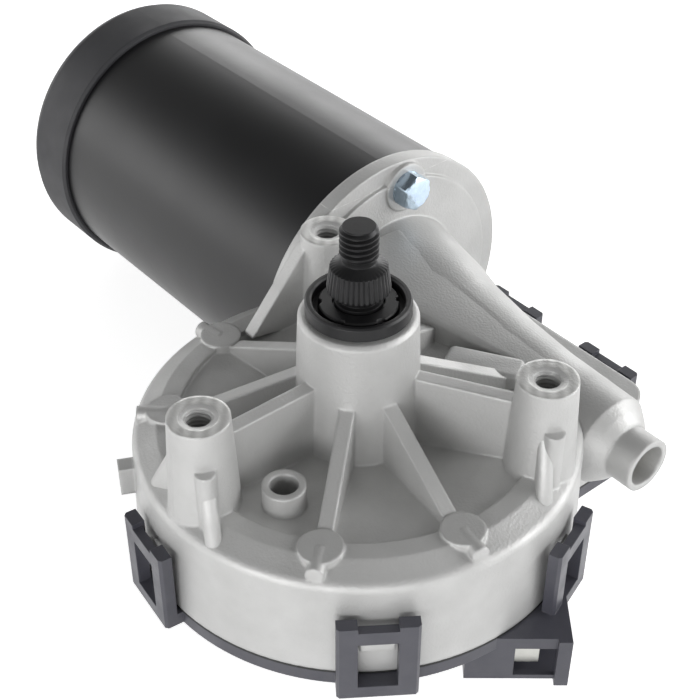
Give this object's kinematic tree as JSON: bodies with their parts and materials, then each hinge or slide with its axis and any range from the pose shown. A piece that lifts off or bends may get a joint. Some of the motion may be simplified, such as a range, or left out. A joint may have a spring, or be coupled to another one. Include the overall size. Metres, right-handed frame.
{
  "type": "wiper motor",
  "caption": "Geared wiper motor: cylindrical motor with a worm gearbox in a ribbed die-cast housing, threaded output shaft, mounting bosses and a clip-on cover with a connector socket.",
  "frame": {"origin": "on the output shaft axis, in the plane of the three mounting boss faces", "axes": "+Z along the output shaft, out of the housing; +X along the armature, from the motor towards the vent pipe; +Y towards the armature"},
  "size_m": [0.2133, 0.1344, 0.0949],
  "materials": {
    "black_paint": "semi-gloss black paint",
    "black_plastic": "moulded, fine grain",
    "black_steel": "black oxide",
    "brass": "stamped",
    "bronze": "sintered",
    "brown_plastic": "phenolic",
    "carbon": "carbon graphite",
    "cast_aluminium": "bead-blasted die casting",
    "copper": "enamelled wire",
    "ferrite": "sintered ferrite",
    "gear_plastic": "moulded acetal",
    "lamination": "stacked sheet",
    "rubber": "moulded",
    "steel": "ground",
    "zinc_steel": "zinc plated"
  },
  "bodies": {
    "gearbox": {"gear_housing": "cast_aluminium", "gear_cover": "black_plastic", "cover_gasket": "rubber", "connector_terminals": "brass", "motor_tube": "black_paint", "tube_end_cap": "black_plastic", "motor_bolts": "zinc_steel", "field_magnets": "ferrite", "brush_plate": "brown_plastic", "carbon_brushes": "carbon", "brush_springs": "steel", "front_bearing": "steel", "rear_bush": "bronze", "worm_end_bush": "bronze", "thrust_pad": "gear_plastic", "park_contacts": "brass", "upper_bush": "bronze", "lower_bush": "bronze", "shaft_seal": "rubber", "shaft_collar": "black_plastic"},
    "armature": {"armature_shaft": "steel", "armature_core": "lamination", "armature_winding": "copper", "commutator": "copper"},
    "output": {"output_shaft": "black_steel", "wheel_hub": "steel", "worm_wheel": "gear_plastic", "contact_disc": "brass", "thrust_washer": "steel", "retaining_ring": "steel"}
  },
  "joints": [
    {"name": "armature_spin", "type": "hinge", "parent": "gearbox", "child": "armature", "pos_m": [0, 0.0445, -0.031], "axis": [1, 0, 0], "continuous": true},
    {"name": "output_spin", "type": "hinge", "parent": "gearbox", "child": "output", "pos_m": [0, 0, 0], "axis": [0, 0, 1], "continuous": true}
  ],
  "couplings": [
    {"joint": "output_spin", "follows": "armature_spin", "ratio": 0.016129}
  ]
}
